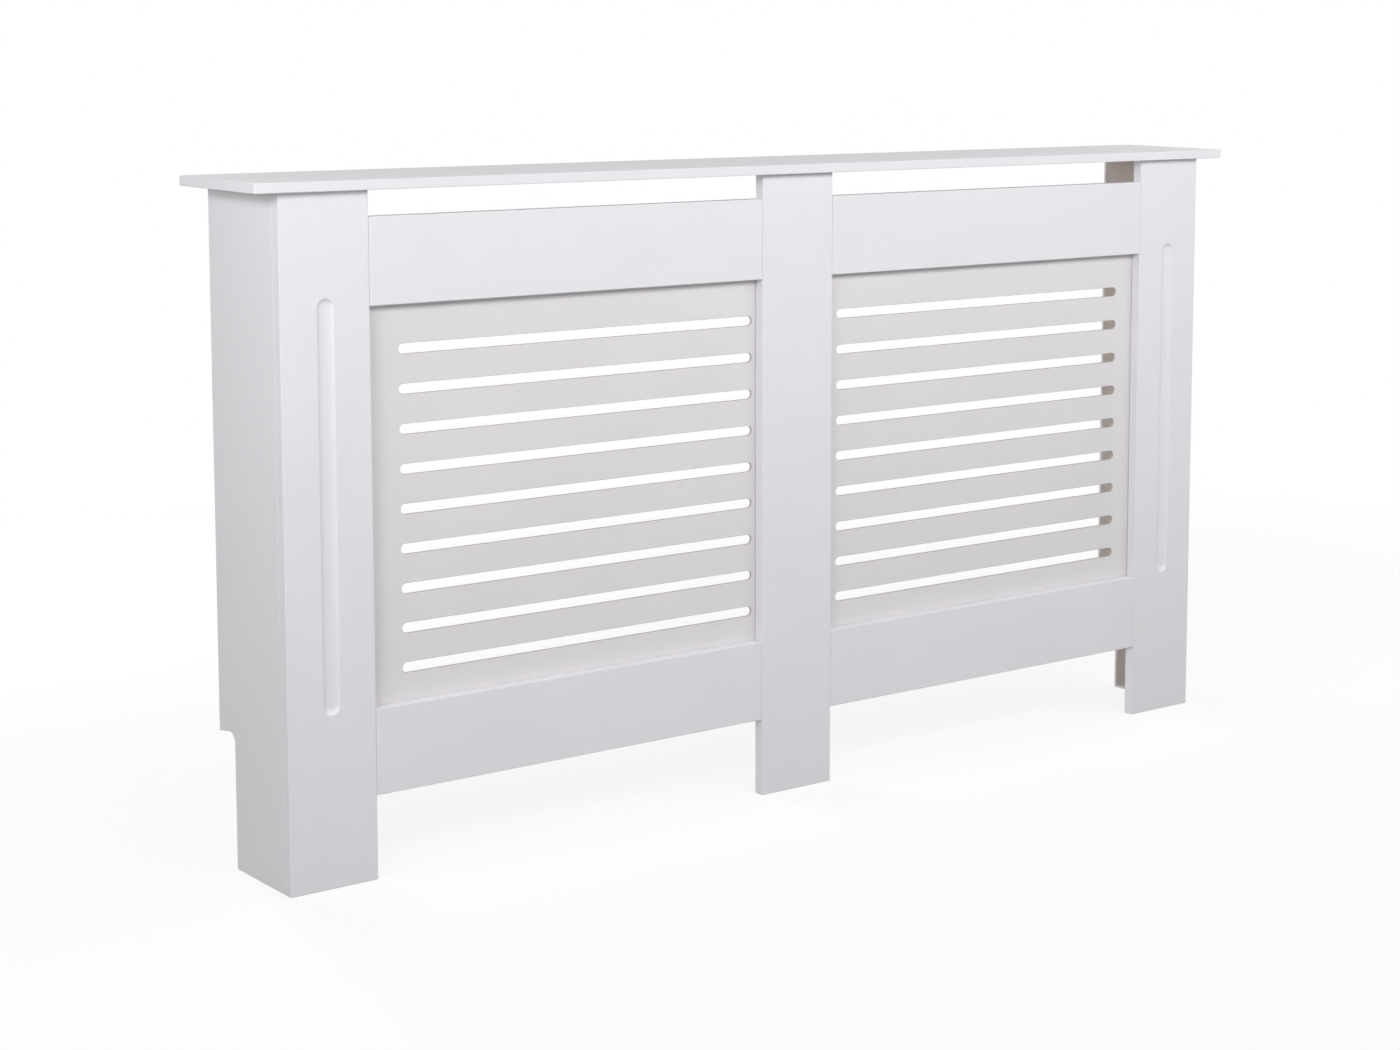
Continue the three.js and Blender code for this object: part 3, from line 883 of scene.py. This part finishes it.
def shelf_outline(piece):
    """Draws the painted border of the shelf's underside and rounds the shelf's four corners."""
    size_of = settings("boards")
    with editing(piece, "FACE") as mesh:
        pick(piece, mesh.faces, lambda face: face.normal.z < -0.9)
        bpy.ops.mesh.inset(thickness=size_of.shelf_border, depth=0, use_even_offset=True)
    round_edges(piece, is_upright, size_of.shelf_corner, steps=8)


def skirting_notch(piece):
    """Cuts the skirting notch out of a side panel's lower back corner."""
    size_of = settings("boards")
    places = [vertex.co for vertex in piece.data.vertices]
    low = Vector(map(min, zip(*places)))
    high = Vector(map(max, zip(*places)))
    past = size_of.notch_depth
    front, top = high.y - size_of.notch_depth, low.z + size_of.notch_height
    cutter = block("Notch", (low.x - past, front, low.z - past), (high.x + past, high.y + past, top))
    with editing(cutter, "VERT") as mesh:
        pick(cutter, mesh.verts, lambda vertex: vertex.co.y > high.y and vertex.co.z > low.z)
        fall = size_of.notch_fall * (size_of.notch_depth + past) / size_of.notch_depth
        bpy.ops.transform.translate(value=(0, 0, -fall))
    inner_corner = size_of.notch_corner
    round_edges(cutter, lambda edge: runs_through(edge, y=front, z=top), inner_corner, steps=16)
    cut(piece, cutter)


def rim_curve(start, corner, end, steps):
    """Points of a soft curve that leaves start towards the corner and arrives at end."""
    start, corner, end = Vector(start), Vector(corner), Vector(end)
    shares = [step / steps for step in range(steps + 1)]
    return [tuple((1 - t) ** 2 * start + 2 * t * (1 - t) * corner + t**2 * end) for t in shares]


def flute_profile():
    """Section of the flute from its bottom past its rim, as (radius, height over the post's face)."""
    size_of = settings("boards")
    half, depth, lip = size_of.flute_width / 2, size_of.flute_depth, size_of.flute_lip
    steps, flat = 18, 0.4  # the flat at the bottom is this share of a step
    fullness = 3.4  # 2 is a plain cove, more has a flatter bottom and steeper sides
    ways_out = [math.sin(QUARTER_TURN * (step + flat) / (steps + flat)) for step in range(steps + 1)]
    radii = [(half - lip) * way_out for way_out in ways_out]
    cove = [(radius, depth * ((radius / half) ** fullness - 1)) for radius in radii]
    soft_rim = rim_curve(cove[-1], (half, 0), (half + lip, JUST_PAST), steps=5)
    return cove + soft_rim[1:] + [(half + lip, depth)]


def route_flute(piece, node_name):
    """Routes the round-ended flute into the face of an outer post."""
    size_of = settings("boards")
    low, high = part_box(node_name)
    run = size_of.flute_top - size_of.flute_bottom - size_of.flute_width
    cutter = stretched(turned("Flute", flute_profile(), sides=96), run)
    foot = Vector(((low.x + high.x) / 2, low.y, size_of.flute_bottom + size_of.flute_width / 2))
    cut(piece, settle(cutter, frame_at(foot, X, -Y)))


def add_shelf():
    """The shelf, bare underneath within its painted border."""
    shelf = board("shelf", bare_way=-Z, shape=shelf_outline)
    place_on_frame(shade(shelf), "white_paint", "shelf")


def add_post(word):
    """A post. The outer two have a flute."""
    node_name = "post_" + word
    post = board(node_name, bare_way=Y)
    if word in SIDES:
        route_flute(post, node_name)
    place_on_frame(shade(post), "white_paint", node_name)


def grille_box(word):
    """Corners of a grille's sheet, without the screws that its node also holds."""
    size_of = settings("grilles")
    low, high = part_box("grille_" + word)
    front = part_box("post_centre")[1].y + size_of.seam
    return Vector((low.x, front, low.z)), Vector((high.x, front + size_of.sheet, high.z))


def grille_screw_places(word):
    """Where a grille's screws stand, on the back of its sheet."""
    size_of = settings("grilles")
    low, high = grille_box(word)
    middle = (low.x + high.x) / 2
    heights = (low.z + size_of.screw_inset, high.z - size_of.screw_inset)
    offsets = (-size_of.screw_spread, 0, size_of.screw_spread)
    return [Vector((middle + offset, high.y, height)) for height in heights for offset in offsets]


def add_rail(level, word):
    """A rail, drilled for the screws of the grille behind it."""
    node_name = f"rail_{level}_{word}"
    rail = board(node_name, bare_way=Y)
    size_of = settings("fittings")
    radius = size_of.screw_shank + settings("boards").clearance
    low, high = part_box(node_name)
    for place in grille_screw_places(word):
        if low.z < place.z < high.z:
            cut(rail, drill(radius, -size_of.screw_length, 0, place, Y), DRILLED)
    place_on_frame(shade(rail), "white_paint", node_name)


def add_side_panel(word):
    """A side panel with its skirting notch, bare inside."""
    node_name = "side_panel_" + word
    panel = board(node_name, bare_way=-SIDES[word] * X, shape=skirting_notch)
    place_on_frame(shade(panel), "white_paint", node_name)


# ---------------------------------------------------------------- grilles


def slot_profile():
    """Section of a slot through the sheet, flared at both faces, as (radius, height over front)."""
    size_of = settings("grilles")
    half, arris, depth = size_of.slot_height / 2, size_of.arris, size_of.sheet
    steps = 4
    angles = [step * QUARTER_TURN / steps for step in range(steps + 1)]
    flare = [(half + arris * (1 - math.sin(a)), arris * (1 - math.cos(a)) - JUST_PAST) for a in angles]
    front = [(radius, -below) for radius, below in flare]
    back = [(radius, below - depth) for radius, below in reversed(flare)]
    wide = half + arris
    return [(wide, depth)] + front + back + [(wide, -2 * depth)]


def add_grille(word):
    """A thin painted sheet with a row of round-ended slots, their walls in the darker drilled-fibreboard
    finish.
    """
    size_of = settings("grilles")
    low, high = grille_box(word)
    sheet = block("slotted_grille_" + word, low, high)
    with_slots(sheet, "Grille paint", "Drilled fibreboard")
    soften(sheet, size_of.arris, steps=3)

    run = (high.x - low.x) - 2 * size_of.border - size_of.slot_height
    slot = stretched(turned("Slot", slot_profile(), sides=48), run)
    settle(slot, Matrix.Rotation(-QUARTER_TURN, 4, "Z"))
    inset = size_of.border + size_of.slot_height / 2
    start = low + Vector((inset + size_of.offset, 0, inset))
    rows = [frame_at(start + row * size_of.pitch * Z, X, -Y) for row in range(size_of.slots)]
    cut(sheet, joined([copied(slot, "Slot row", place) for place in rows]), DRILLED)
    discard(slot)
    place_on_frame(shade(sheet), "grille_paint", "grille_" + word)


# ---------------------------------------------------------------- fittings


BOLT_IN_BOARD = 11 * MM  # how far a bolt's thread reaches into the board without its cam


def own_places(piece):
    """Keeps each vertex's place in the piece's own frame, for a grain that follows the piece."""
    kept = piece.data.attributes.new("own_place", "FLOAT_VECTOR", "POINT")
    for vertex, value in zip(piece.data.vertices, kept.data):
        value.vector = vertex.co


def cross_recess(piece, top, reach, width, depth):
    """Sinks a cross for a screwdriver into a flat top, its arms narrowing downwards."""
    narrower = (0.45, 0.75, 1)  # an arm's bottom against its top
    for turn in (0, QUARTER_TURN):
        arm = block("Cross", (-reach, -width / 2, top - depth), (reach, width / 2, top + depth))
        with editing(arm, "VERT") as mesh:
            pick(arm, mesh.verts, lambda vertex: vertex.co.z < top)
            bpy.ops.transform.resize(value=narrower, center_override=(0, 0, top - depth))
        cut(piece, settle(arm, Matrix.Rotation(turn, 4, "Z")))


def place_copies(pattern, kind, word, slot, place_of):
    """Puts a copy of a pattern in place of every fitting of a kind, and lets the pattern go."""
    for joint in names_of(kind):
        copy = copied(pattern, f"{word}_{kind}_{joint}", place_of(joint))
        place_on_frame(copy, slot, f"{kind}_{joint}")
    discard(pattern)


def cam_pattern():
    """A die-cast cam: a drum with a cross, a pointer, a bolt's mouth and the slot for its neck."""
    size_of, gap = settings("fittings"), settings("boards").clearance
    radius, top = size_of.cam_radius, size_of.cam_above_bolt
    bottom, chamfer = top - size_of.cam_height, 0.5 * MM
    profile = [
        (radius - chamfer, bottom),
        (radius, bottom + chamfer),
        (radius, top - chamfer),
        (radius - 0.3 * chamfer, top - 0.3 * chamfer),
        (radius - chamfer, top),
        (radius - 2.4 * chamfer, top),
        (radius - 2.8 * chamfer, top - 0.5 * chamfer),
        (0.1 * radius, top - 0.5 * chamfer),
    ]
    cam = turned("Cam", profile, sides=64)
    mouth, neck = size_of.bolt_head + gap, size_of.bolt_neck + gap
    cut(cam, drill(mouth, -2 * radius, mouth, Vector(), Y, sides=32))
    cut(cam, block("Neck slot", (-2 * radius, -neck, -neck), (0, neck, neck)))
    cross_recess(cam, top, reach=0.55 * radius, width=1.7 * MM, depth=2.4 * MM)

    pointer_profile = [(1.1 * MM, top - 1.3 * chamfer), (1.3 * MM, top + chamfer)]
    place = Matrix.Translation((-0.72 * radius, 0, 0)) @ Matrix.Rotation(QUARTER_TURN, 4, "Z")
    cut(cam, settle(turned("Pointer", pointer_profile, sides=3), place))
    return with_slots(shade(cam), "Zinc casting")


def add_cams():
    """A cam in each housing."""
    place_copies(cam_pattern(), "cam", "cast", "zinc_casting", cam_frame)


def bolt_profile():
    """Section of a cam bolt along its length from the seam, as (radius, along)."""
    size_of = settings("fittings")
    low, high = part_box("bolt_" + names_of("bolt")[0])
    crest, root, pitch = size_of.bolt_thread, 1.9 * MM, 1.6 * MM
    lead_in, run_out = 1.2 * MM, 1.5 * MM
    gap, collar, collar_radius, shank = 0.3 * MM, 1.5 * MM, 3.5 * MM, 2.6 * MM
    head = size_of.bolt_head
    head_middle = max(high - low) - BOLT_IN_BOARD - head
    neck_start = head_middle - size_of.cam_radius - gap

    thread = [(0.3 * crest, -BOLT_IN_BOARD), (root, lead_in - BOLT_IN_BOARD)]
    for turn in range(int((gap + BOLT_IN_BOARD - run_out) / pitch)):
        at = lead_in - BOLT_IN_BOARD + turn * pitch
        thread += [(crest, at + 0.45 * pitch), (crest, at + 0.6 * pitch), (root, at + 0.95 * pitch)]
    body = [(root, gap), (collar_radius, gap), (collar_radius, gap + collar), (shank, gap + collar)]
    neck = [(shank, neck_start), (size_of.bolt_neck, neck_start)]
    angles = [math.radians(angle) for angle in range(-56, 85, 14)]
    ball = [(head * math.cos(a), head_middle + head * math.sin(a)) for a in angles]
    return thread + body + neck + ball


def bolt_frame(joint):
    """A bolt's place: its origin at the seam between the boards, +Z towards its head."""
    place = cam_frame(joint)
    bolt_way, mouth = place.col[0].to_3d(), place.col[2].to_3d()
    middle, _, half = long_way("bolt_" + joint)
    return frame_at(middle - bolt_way * (half - BOLT_IN_BOARD), mouth, bolt_way)


def add_bolts():
    """A bolt in each cam's mouth, its thread in the next board."""
    pattern = with_slots(turned("Bolt", bolt_profile(), sides=32), "Plated steel")
    place_copies(shade(pattern), "bolt", "turned", "plated_steel", bolt_frame)


def dowel_frame(joint):
    """A dowel's place: its origin in its middle, +Z along it."""
    middle, way, _ = long_way("dowel_" + joint)
    return frame_along(middle, way)


def add_dowels():
    """Beech dowels with pressed grooves and chamfered ends."""
    radius = settings("fittings").dowel_radius
    _, _, half = long_way("dowel_" + names_of("dowel")[0])
    chamfer, grooves, sides_to_a_groove, pressed = 1 * MM, 18, 4, 0.93
    profile = [
        (radius - chamfer, -half),
        (radius, chamfer - half),
        (radius, half - chamfer),
        (radius - chamfer, half),
    ]
    pattern = turned("Dowel", profile, sides=grooves * sides_to_a_groove)

    def in_groove(vertex):
        """Whether a vertex lies on the middle line of a groove."""
        turns = math.atan2(vertex.co.y, vertex.co.x) / (2 * math.pi / grooves)
        return abs(turns % 1 - 0.5) < 0.5 / sides_to_a_groove

    with editing(pattern, "VERT") as mesh:
        pick(pattern, mesh.verts, in_groove)
        bpy.ops.transform.resize(value=(pressed, pressed, 1), center_override=(0, 0, 0))
    own_places(pattern)
    with_slots(pattern, "Beech")
    place_copies(shade(pattern), "dowel", "beech", "beech", dowel_frame)


def pan_screw(head, height, shank, length):
    """A pan-head screw with a cross: its head seated on z = 0, its tip down along -Z."""
    root, pitch, point, rim = 0.72 * shank, 1.1 * MM, 2 * shank, 0.35
    profile = [(0.2 * shank, -length), (root, point - length)]
    for turn in range(int((length - 3 * shank) / pitch)):
        at = point - length + turn * pitch
        profile += [(shank, at + 0.45 * pitch), (root, at + 0.9 * pitch)]
    profile += [(shank, -0.4 * MM), (shank, 0), (head, 0), (head, rim * height)]
    angles = [math.radians(angle) for angle in range(18, 90, 12)]
    profile += [(head * math.cos(a), height * (rim + (1 - rim) * math.sin(a))) for a in angles]
    screw = turned("Screw", profile, sides=36)
    cross_recess(screw, height, reach=0.62 * head, width=0.9 * MM, depth=0.75 * height)
    return with_slots(shade(screw), "Plated steel")


def add_grille_screws():
    """The screws that hold the grilles to the rails."""
    size_of = settings("fittings")
    head_height = 1.8 * MM
    pattern = pan_screw(size_of.screw_head, head_height, size_of.screw_shank, size_of.screw_length)
    for word in SIDES:
        for number, place in enumerate(grille_screw_places(word), 1):
            screw = copied(pattern, f"pan_screw_grille_{word}_{number}", frame_at(place, X, Y))
            place_on_frame(screw, "plated_steel")
    discard(pattern)


def bracket_pattern(extent):
    """A folded steel angle, its outer corner at the origin, its legs along -X and -Y."""
    size_of = settings("fittings")
    leg, width = extent.x, extent.z
    steel, bend = size_of.bracket_steel, size_of.bracket_bend
    corner, arris, panel_screw_hole = 3 * MM, 0.18 * MM, 1.9 * MM
    angle = block("Bracket", (-leg, -leg, -width / 2), (0, 0, width / 2))
    inner = block("Inner", (-2 * leg, -2 * leg, -width), (-steel, -steel, width))
    round_edges(inner, lambda edge: runs_through(edge, x=-steel, y=-steel), bend - steel, steps=6)
    cut(angle, inner)
    round_edges(angle, lambda edge: runs_through(edge, x=0, y=0), bend, steps=8)
    round_edges(angle, lambda edge: abs(edge.calc_length() - steel) < CLOSE / 2, corner, steps=6)
    hole, past = (leg + bend) / 2, 2 * leg
    cut(angle, drill(size_of.bracket_hole, -past, past, Vector((-hole, 0, 0)), Y, sides=40))
    cut(angle, drill(panel_screw_hole, -past, past, Vector((0, -hole, 0)), X, sides=32))
    soften(angle, arris, steps=2)
    return with_slots(shade(angle), "Plated steel")


def add_wall_brackets():
    """A bracket at each end, and the screw that holds it to its side panel."""
    low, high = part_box("wall_bracket_right")
    pattern = bracket_pattern(high - low)
    head_height = 2.2 * MM
    screw_pattern = pan_screw(head=3.4 * MM, height=head_height, shank=1.6 * MM, length=13 * MM)
    for word, side in SIDES.items():
        low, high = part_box("wall_bracket_" + word)
        corner = Vector((high.x if side > 0 else low.x, high.y, (low.z + high.z) / 2))
        turn = Matrix.Rotation(0 if side > 0 else QUARTER_TURN, 4, "Z")
        bracket = copied(pattern, "folded_bracket_" + word, Matrix.Translation(corner) @ turn)
        place_on_frame(bracket, "plated_steel", "wall_bracket_" + word)

        low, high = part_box("bracket_screw_" + word)
        seat = (low + high) / 2
        seat.x = low.x + head_height if side > 0 else high.x - head_height
        screw = copied(screw_pattern, "pan_screw_bracket_" + word, frame_at(seat, Y, -side * X))
        place_on_frame(screw, "plated_steel", "bracket_screw_" + word)
    discard(pattern)
    discard(screw_pattern)


# ---------------------------------------------------------------- stage


FLOOR_RADIUS = 14
SENSOR_WIDTH = 36  # in millimetres, which the lens is given for

# For each lamp: its place, what it looks at, its width and its height.
LAMPS = {
    "front": ((0.6, -1.22, 1.18), (0.6, -0.08, 0.58), 3.2, 0.4),
    "left": ((-1.45, -0.36, 0.98), (-0.72, 0.03, 0.5), 0.6, 0.4),
    "far": ((-3.2, -2.3, 1.8), (0.1, -0.08, 0.5), 1.2, 0.6),
    "right": ((1.85, 0.1, 1.25), (0.7, 0, 0.5), 1.0, 0.4),
    "back": ((-0.5, 2.2, 1.0), (0.1, 0, 0.4), 0.6, 1.2),
}


def add_floor():
    """A wide round floor, big enough for every view."""
    bpy.ops.object.select_all(action="DESELECT")
    bpy.ops.mesh.primitive_circle_add(
        vertices=96, radius=FLOOR_RADIUS, fill_type="NGON", location=(0, 0, 0)
    )
    floor = with_slots(bpy.context.object, "Studio floor")
    floor.name = "studio_floor"


def add_sky():
    """Soft light from all round, which the camera sees as plain white."""
    world = bpy.data.worlds.new("Studio")
    bpy.context.scene.world = world
    world.use_nodes = True
    tree = world.node_tree
    soft = tree.nodes["Background"]
    feed(tree, soft, {"Color": WHITE, "Strength": settings("stage").sky})
    white = node(tree, "ShaderNodeBackground", {"Color": WHITE, "Strength": 1.0}).outputs[0]
    mix = node(tree, "ShaderNodeMixShader", {0: seen_directly(tree), 1: soft.outputs[0], 2: white})
    feed(tree, tree.nodes["World Output"], {"Surface": mix.outputs[0]})


def add_lamp(word):
    """A soft box that looks at a point, and that no camera sees."""
    place, target, width, height = LAMPS[word]
    name = word.capitalize() + " lamp"
    lamp = bpy.data.lights.new(name, "AREA")
    lamp.shape, lamp.size, lamp.size_y = "RECTANGLE", width, height
    lamp.energy = getattr(settings("stage"), word)
    holder = bpy.data.objects.new(name, lamp)
    bpy.context.collection.objects.link(holder)
    holder.location = place
    holder.rotation_euler = (Vector(target) - Vector(place)).to_track_quat("-Z", "Y").to_euler()
    holder.visible_camera = False


def add_camera():
    """The photograph's camera."""
    stage = settings("stage")
    camera = bpy.data.objects.new("Camera", bpy.data.cameras.new("Camera"))
    bpy.context.collection.objects.link(camera)
    camera.location = stage.camera_place
    camera.rotation_euler = stage.camera_turn
    camera.data.sensor_width = SENSOR_WIDTH
    camera.data.lens = stage.lens
    camera.data.shift_x, camera.data.shift_y = stage.shift
    bpy.context.scene.camera = camera


# ---------------------------------------------------------------- operators


class RADIATOR_COVER_OT_shelf(bpy.types.Operator):
    """Make the shelf, with rounded corners and a bare underside."""

    bl_idname = "radiator_cover.shelf"
    bl_label = "Shelf"

    def execute(self, context):
        add_shelf()
        return {"FINISHED"}


class RADIATOR_COVER_OT_posts(bpy.types.Operator):
    """Make the three posts, and route the flutes of the outer two."""

    bl_idname = "radiator_cover.posts"
    bl_label = "Posts"

    def execute(self, context):
        for word in ("left", "centre", "right"):
            add_post(word)
        return {"FINISHED"}


class RADIATOR_COVER_OT_rails(bpy.types.Operator):
    """Make the four rails between the posts."""

    bl_idname = "radiator_cover.rails"
    bl_label = "Rails"

    def execute(self, context):
        for word in SIDES:
            add_rail("upper", word)
            add_rail("lower", word)
        return {"FINISHED"}


class RADIATOR_COVER_OT_side_panels(bpy.types.Operator):
    """Make the two side panels with their skirting notches."""

    bl_idname = "radiator_cover.side_panels"
    bl_label = "Side Panels"

    def execute(self, context):
        for word in SIDES:
            add_side_panel(word)
        return {"FINISHED"}


class RADIATOR_COVER_OT_grilles(bpy.types.Operator):
    """Make the two slotted grilles and the screws that hold them."""

    bl_idname = "radiator_cover.grilles"
    bl_label = "Grilles"

    def execute(self, context):
        for word in SIDES:
            add_grille(word)
        add_grille_screws()
        return {"FINISHED"}


class RADIATOR_COVER_OT_cams(bpy.types.Operator):
    """Make the die-cast cams that draw the boards together."""

    bl_idname = "radiator_cover.cams"
    bl_label = "Cams"

    def execute(self, context):
        add_cams()
        return {"FINISHED"}


class RADIATOR_COVER_OT_bolts(bpy.types.Operator):
    """Make the bolts that the cams pull on."""

    bl_idname = "radiator_cover.bolts"
    bl_label = "Bolts"

    def execute(self, context):
        add_bolts()
        return {"FINISHED"}


class RADIATOR_COVER_OT_dowels(bpy.types.Operator):
    """Make the grooved beech dowels."""

    bl_idname = "radiator_cover.dowels"
    bl_label = "Dowels"

    def execute(self, context):
        add_dowels()
        return {"FINISHED"}


class RADIATOR_COVER_OT_wall_brackets(bpy.types.Operator):
    """Make the two folded wall brackets and their screws."""

    bl_idname = "radiator_cover.wall_brackets"
    bl_label = "Wall Brackets"

    def execute(self, context):
        add_wall_brackets()
        return {"FINISHED"}


class RADIATOR_COVER_OT_stage(bpy.types.Operator):
    """Set up the floor, the soft light and the camera."""

    bl_idname = "radiator_cover.stage"
    bl_label = "Stage"

    def execute(self, context):
        add_floor()
        add_sky()
        for word in LAMPS:
            add_lamp(word)
        add_camera()
        bpy.context.scene.view_settings.view_transform = "Standard"
        return {"FINISHED"}


STEPS = (
    RADIATOR_COVER_OT_shelf,
    RADIATOR_COVER_OT_posts,
    RADIATOR_COVER_OT_rails,
    RADIATOR_COVER_OT_side_panels,
    RADIATOR_COVER_OT_grilles,
    RADIATOR_COVER_OT_cams,
    RADIATOR_COVER_OT_bolts,
    RADIATOR_COVER_OT_dowels,
    RADIATOR_COVER_OT_wall_brackets,
    RADIATOR_COVER_OT_stage,
)


class RADIATOR_COVER_PT_sidebar(bpy.types.Panel):
    """Lists the steps that dress the cover, and its settings."""

    bl_label = "Radiator Cover"
    bl_idname = "RADIATOR_COVER_PT_sidebar"
    bl_space_type = "VIEW_3D"
    bl_region_type = "UI"
    bl_category = "Radiator Cover"

    def draw(self, context):
        for step in STEPS:
            self.layout.operator(step.bl_idname)
        for name, group in GROUPS.items():
            box = self.layout.box()
            for setting in group.__annotations__:
                box.prop(getattr(context.scene, name), setting)


CLASSES = (*GROUPS.values(), *STEPS, RADIATOR_COVER_PT_sidebar)


def register():
    for cls in CLASSES:
        bpy.utils.register_class(cls)
    for name, group in GROUPS.items():
        setattr(bpy.types.Scene, name, PointerProperty(type=group))


def unregister():
    for name in GROUPS:
        delattr(bpy.types.Scene, name)
    for cls in reversed(CLASSES):
        bpy.utils.unregister_class(cls)


def main():
    """Dresses the frame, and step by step."""
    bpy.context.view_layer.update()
    register()
    for step in STEPS:
        family, name = step.bl_idname.split(".")
        getattr(getattr(bpy.ops, family), name)()


if __name__ == "__main__":
    main()
